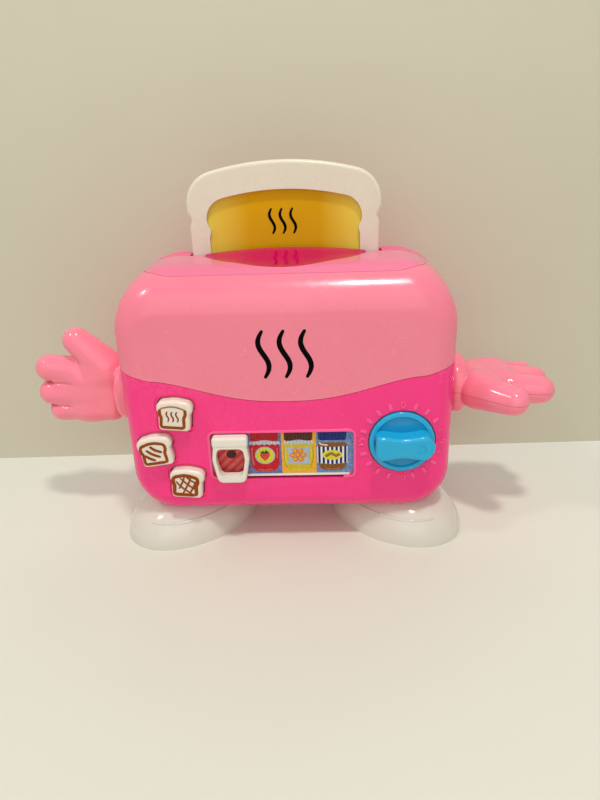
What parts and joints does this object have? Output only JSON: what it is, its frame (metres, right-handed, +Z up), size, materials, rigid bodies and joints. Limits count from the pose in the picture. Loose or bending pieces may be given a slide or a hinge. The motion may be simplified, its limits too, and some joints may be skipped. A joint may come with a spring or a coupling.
{
  "type": "toy toaster",
  "caption": "Toy toaster with turning arms, shoe feet, spring-up toast slice, picture slider, three bread keys and a turning dial.",
  "frame": {"origin": "centre of the overall width and depth, on the floor under the feet", "axes": "+X to the viewer's right, +Y away from the viewer, +Z up; the dial and the keys face -Y"},
  "size_m": [0.3696, 0.1174, 0.2549],
  "materials": {
    "hot_pink": "glossy",
    "light_pink": "glossy",
    "crimson": "glossy",
    "white": "glossy",
    "amber": "glossy",
    "blue": "glossy",
    "grey_plastic": "satin",
    "steel": "satin",
    "board": "satin",
    "rubber_pad": "satin",
    "card": "satin",
    "cell": "satin"
  },
  "bodies": {
    "body": {"front_lower_shell": "hot_pink", "front_upper_shell": "light_pink", "top_plate": "light_pink", "rear_shell": "hot_pink", "slot_liner": "crimson", "toast_chute": "crimson", "guide_rods": "steel", "lift_base": "grey_plastic", "lift_springs": "steel", "latch_pin": "steel", "button_pads": "rubber_pad", "button_board": "board", "picture_card": "card", "picture_tray": "white", "slider_rail": "steel", "main_board": "board", "dial_base": "grey_plastic", "dial_sensor": "grey_plastic", "dial_spring": "steel", "left_foot_shell": "white", "right_foot_shell": "white", "left_foot_sole": "white", "right_foot_sole": "white", "foot_screws": "steel", "shell_screws": "steel", "inner_screws": "steel", "battery_box": "grey_plastic", "cells": "cell", "cell_contacts": "steel", "battery_door": "hot_pink", "door_screw": "steel", "speaker": "grey_plastic", "speaker_ring": "grey_plastic", "switch_body": "grey_plastic"},
    "toast": {"toast_frame": "white", "toast_face": "amber", "toast_back": "amber", "toast_platform": "grey_plastic"},
    "latch": {"latch_hook": "grey_plastic"},
    "dial": {"dial_knob": "blue", "dial_shaft": "grey_plastic"},
    "slider": {"slider_frame": "white", "slider_carrier": "grey_plastic"},
    "key_1": {"button_cap_1": "white"},
    "key_2": {"button_cap_2": "white"},
    "key_3": {"button_cap_3": "white"},
    "power_slide": {"switch_knob": "grey_plastic"},
    "left_arm": {"left_hand_front": "light_pink", "left_hand_back": "light_pink", "left_hand_screws": "steel", "left_arm_shaft": "crimson", "left_arm_washer": "steel", "left_arm_screw": "steel"},
    "right_arm": {"right_hand_front": "light_pink", "right_hand_back": "light_pink", "right_hand_screws": "steel", "right_arm_shaft": "crimson", "right_arm_washer": "steel", "right_arm_screw": "steel"}
  },
  "joints": [
    {"name": "toast_lift", "type": "slide", "parent": "body", "child": "toast", "axis": [0, 0, 1], "range_m": [-0.05, 0], "stiffness_N_per_m": 40, "springref_m": 0.03, "deforming": ["lift_springs"]},
    {"name": "latch_turn", "type": "hinge", "parent": "body", "child": "latch", "pos_m": [0, 0.03525, 0.092], "axis": [1, 0, 0], "range_deg": [0, 8], "stiffness_Nm_per_rad": 0.02, "springref_deg": -2.86},
    {"name": "dial_turn", "type": "hinge", "parent": "body", "child": "dial", "pos_m": [0.0756, -0.04625, 0.079], "axis": [0, -1, 0], "continuous": true},
    {"name": "slider_run", "type": "slide", "parent": "body", "child": "slider", "axis": [1, 0, 0], "range_m": [0, 0.0717]},
    {"name": "left_arm_turn", "type": "hinge", "parent": "body", "child": "left_arm", "pos_m": [-0.11, 0.00375, 0.101], "axis": [1, 0, 0], "continuous": true},
    {"name": "right_arm_turn", "type": "hinge", "parent": "body", "child": "right_arm", "pos_m": [0.11, 0.00375, 0.101], "axis": [1, 0, 0], "continuous": true},
    {"name": "power_slide_run", "type": "slide", "parent": "body", "child": "power_slide", "axis": [1, 0, 0], "range_m": [0, 0.004]},
    {"name": "key_1_press", "type": "slide", "parent": "body", "child": "key_1", "axis": [0, 1, 0], "range_m": [0, 0.0022], "stiffness_N_per_m": 400, "springref_m": -0.001, "deforming": ["button_pads"]},
    {"name": "key_2_press", "type": "slide", "parent": "body", "child": "key_2", "axis": [0, 1, 0], "range_m": [0, 0.0022], "stiffness_N_per_m": 400, "springref_m": -0.001, "deforming": ["button_pads"]},
    {"name": "key_3_press", "type": "slide", "parent": "body", "child": "key_3", "axis": [0, 1, 0], "range_m": [0, 0.0022], "stiffness_N_per_m": 400, "springref_m": -0.001, "deforming": ["button_pads"]}
  ]
}
